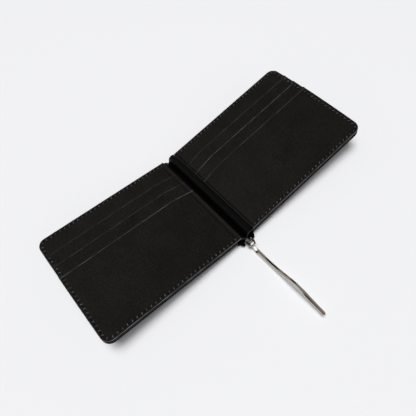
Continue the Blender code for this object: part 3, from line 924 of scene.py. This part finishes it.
def build_clip_arm():
    """The clip arm: a polished, waved strip with soft edges, on a knuckle round the pin."""
    line = [Vector((point.x, point.y + ARM_LIFT * point.x))
            for point in catmull(ARM_WAVE, ARM_SPAN_POINTS)[ARM_HIDDEN_POINTS:]]
    bm = bmesh.new()
    rings = []
    for index, point in enumerate(line):
        ahead = line[min(index + 1, len(line) - 1)]
        behind = line[max(index - 1, 0)]
        along = (ahead - behind).normalized()
        normal = Vector((-along.y, along.x))
        half_width = arm_half_width(point.x)
        ring = []
        for turn in steps(0.0, 2 * math.pi, ARM_SECTION_STEP)[:-1]:
            across = signed_power(math.cos(turn), ARM_SIDE_POWER) * half_width
            lift = signed_power(math.sin(turn), ARM_FACE_POWER) * ARM_THICKNESS / 2
            place = point + normal * lift
            ring.append(bm.verts.new((across, place.x, place.y)))
        rings.append(ring)
    for first, second in zip(rings, rings[1:]):
        for index in range(len(first)):
            following = (index + 1) % len(first)
            bm.faces.new((first[index], first[following], second[following], second[index]))
    bm.faces.new(rings[0])
    bm.faces.new(rings[-1])
    half = KNUCKLE_WIDTH / 2
    barrel = [(-half, KNUCKLE_END_SHARE), (-half + KNUCKLE_BEVEL, 1.0),
              (half - KNUCKLE_BEVEL, 1.0), (half, KNUCKLE_END_SHARE)]
    add_bead(bm, [Vector((x, 0, 0)) for x, _ in barrel],
             [KNUCKLE_RADIUS * share for _, share in barrel], sides=KNUCKLE_SIDES)
    arm = new_object("clip_arm_polished", bm, STEEL)
    arm.data.set_sharp_from_angle(angle=ARM_SHARP_ANGLE)
    open_angle = math.radians(JOINTS["clip_pivot"]["range_deg"][1])
    arm.matrix_world = Matrix.Translation(PIVOT) @ Matrix.Rotation(open_angle, 4, "X")
    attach(arm, "clip_arm")
    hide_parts("clip_arm")


def finish_cad_node(name, finish, bevel):
    """Gives a CAD node its finish and softens its edges, without touching its mesh."""
    node = frame["nodes"][name]
    for slot in node.material_slots:
        slot.material = finish
    weld = node.modifiers.new("weld", "WELD")
    weld.merge_threshold = WELD_DISTANCE
    soften = node.modifiers.new("soften", "BEVEL")
    soften.width = bevel
    soften.segments = 2
    soften.limit_method = "ANGLE"
    soften.angle_limit = SOFTEN_ANGLE


for wing in SIDE_SIGN:
    build_wing(wing)
    build_stitching(wing)
    finish_cad_node(wing + "_cover_board", BOARD, bevel=0.1 * MM)
build_spine_cover()
build_lining()
build_hem_rolls()
build_clip_arm()
finish_cad_node("clip_base_bar", BRACKET_STEEL, bevel=0.15 * MM)
finish_cad_node("pivot_pin", BRACKET_STEEL, bevel=0.1 * MM)
finish_cad_node("detent_spring", SPRING_STEEL, bevel=0.05 * MM)


# ---------------------------------------------------------------- camera, floor and light

CAMERA_PLACE = Vector((-67.42, -124.66, 244.05)) * MM
CAMERA_TURN = (28.323, 6.513, -40.723)
CAMERA_LENS = 33.66
CAMERA_SENSOR = 36.0
NEAR_CLIP = 10 * MM
KEY_PLACE = Vector((-0.15, -0.08, 3.2))
KEY_SIZE = 1.45
KEY_POWER = 99.0
FILL = 0.34
KEY_COLOUR = (0.985, 0.99, 1.0)
FLOOR_REACH = 2.5
FLOOR_COLOUR = (0.78, 0.78, 0.79, 1.0)
FLOOR_GLOW_COLOUR = (1.0, 1.0, 1.01, 1.0)
FLOOR_GLOW = 0.08


def build_camera():
    """A camera above the front left of the wallet, rolled a little."""
    data = bpy.data.cameras.new("camera")
    data.lens = CAMERA_LENS
    data.sensor_width = CAMERA_SENSOR
    data.clip_start = NEAR_CLIP
    camera = bpy.data.objects.new("camera", data)
    camera.location = CAMERA_PLACE
    camera.rotation_euler = [math.radians(angle) for angle in CAMERA_TURN]
    bpy.context.scene.collection.objects.link(camera)
    bpy.context.scene.camera = camera


def build_key_light():
    """A softbox overhead that casts the soft shadows; the studio patches give the reflections."""
    data = bpy.data.lights.new("key_softbox", "AREA")
    data.size = KEY_SIZE
    data.energy = KEY_POWER
    data.color = KEY_COLOUR
    light = bpy.data.objects.new("key_softbox", data)
    light.location = KEY_PLACE
    light.rotation_euler = (-KEY_PLACE).to_track_quat("-Z", "Y").to_euler()
    light.visible_glossy = False
    bpy.context.scene.collection.objects.link(light)


def build_floor():
    """A pale floor that glows a little, so that the shadows stay soft and light."""
    finish, _, _ = new_material(
        "pale_floor", Roughness=0.9, Specular_IOR_Level=0.0, Base_Color=FLOOR_COLOUR,
        Emission_Color=FLOOR_GLOW_COLOUR, Emission_Strength=FLOOR_GLOW)
    bm = bmesh.new()
    corners = ((-1, -1), (1, -1), (1, 1), (-1, 1))
    bm.faces.new([bm.verts.new((x * FLOOR_REACH, y * FLOOR_REACH, CAD_BOX[0][2]))
                  for x, y in corners])
    floor = new_object("floor", bm, finish, smooth_faces=False)


# Patches of the studio: direction, inner and outer angle in degrees, radiance
STUDIO_PATCHES = (
    ((0.35, 0.8, 0.45), 12.0, 30.0, (0.44, 0.36, 0.27)),
    ((-0.05, 0.83, 0.56), 8.0, 20.0, (0.2, 0.21, 0.19)),
    ((-0.35, 0.38, 0.86), 18.0, 36.0, (0.6, 0.61, 0.62)),
    ((0.05, 0.48, 0.87), 6.0, 13.0, (0.4, 0.405, 0.41)),
    ((0.5, 0.5, 0.7), 14.0, 17.0, (0.004, 0.004, 0.004)),
    ((-0.15, -0.45, 0.88), 14.0, 24.0, (0.01, 0.01, 0.01)),
    ((0.1, -0.92, 0.35), 16.0, 30.0, (1.2, 1.28, 1.45)),
)

# The sky's colour by height, from the horizon to overhead
SKY = ((0.0, (0.8, 0.8, 0.82)), (0.35, grey(0.5)), (0.75, (0.24, 0.2, 0.165)),
       (1.0, (0.2, 0.175, 0.15)))
PLAIN_WALL = (0.8, 0.8, 0.82)


def build_world():
    """A plain wall to look at; reflections see softboxes and dark flags in a darker sky."""
    world = bpy.data.worlds.new("studio")
    bpy.context.scene.world = world
    world.use_nodes = True
    nodes = Nodes(world.node_tree)
    background = world.node_tree.nodes["Background"]
    direction = nodes.add("ShaderNodeTexCoord").outputs["Generated"]
    height = nodes.add("ShaderNodeSeparateXYZ", {"Vector": direction}).outputs["Z"]
    colour = nodes.ramp(height, SKY)
    for toward, inner, outer, radiance in STUDIO_PATCHES:
        cosine = nodes.add("ShaderNodeVectorMath", {
            0: direction, 1: Vector(toward).normalized()}, operation="DOT_PRODUCT").outputs["Value"]
        share = nodes.add("ShaderNodeMapRange", {
            "Value": cosine, "From Min": math.cos(math.radians(outer)),
            "From Max": math.cos(math.radians(inner))},
            interpolation_type="SMOOTHSTEP").outputs[0]
        colour = nodes.mix(share, colour, radiance)
    path = nodes.add("ShaderNodeLightPath")
    colour = nodes.mix(path.outputs["Is Camera Ray"], colour, PLAIN_WALL)
    world.node_tree.links.new(colour, background.inputs["Color"])
    strength = nodes.add("ShaderNodeMapRange", {
        "Value": path.outputs["Is Diffuse Ray"], "To Min": 1.0, "To Max": FILL})
    world.node_tree.links.new(strength.outputs[0], background.inputs["Strength"])


build_camera()
build_floor()
build_world()
build_key_light()
bpy.context.scene.view_settings.view_transform = "Standard"
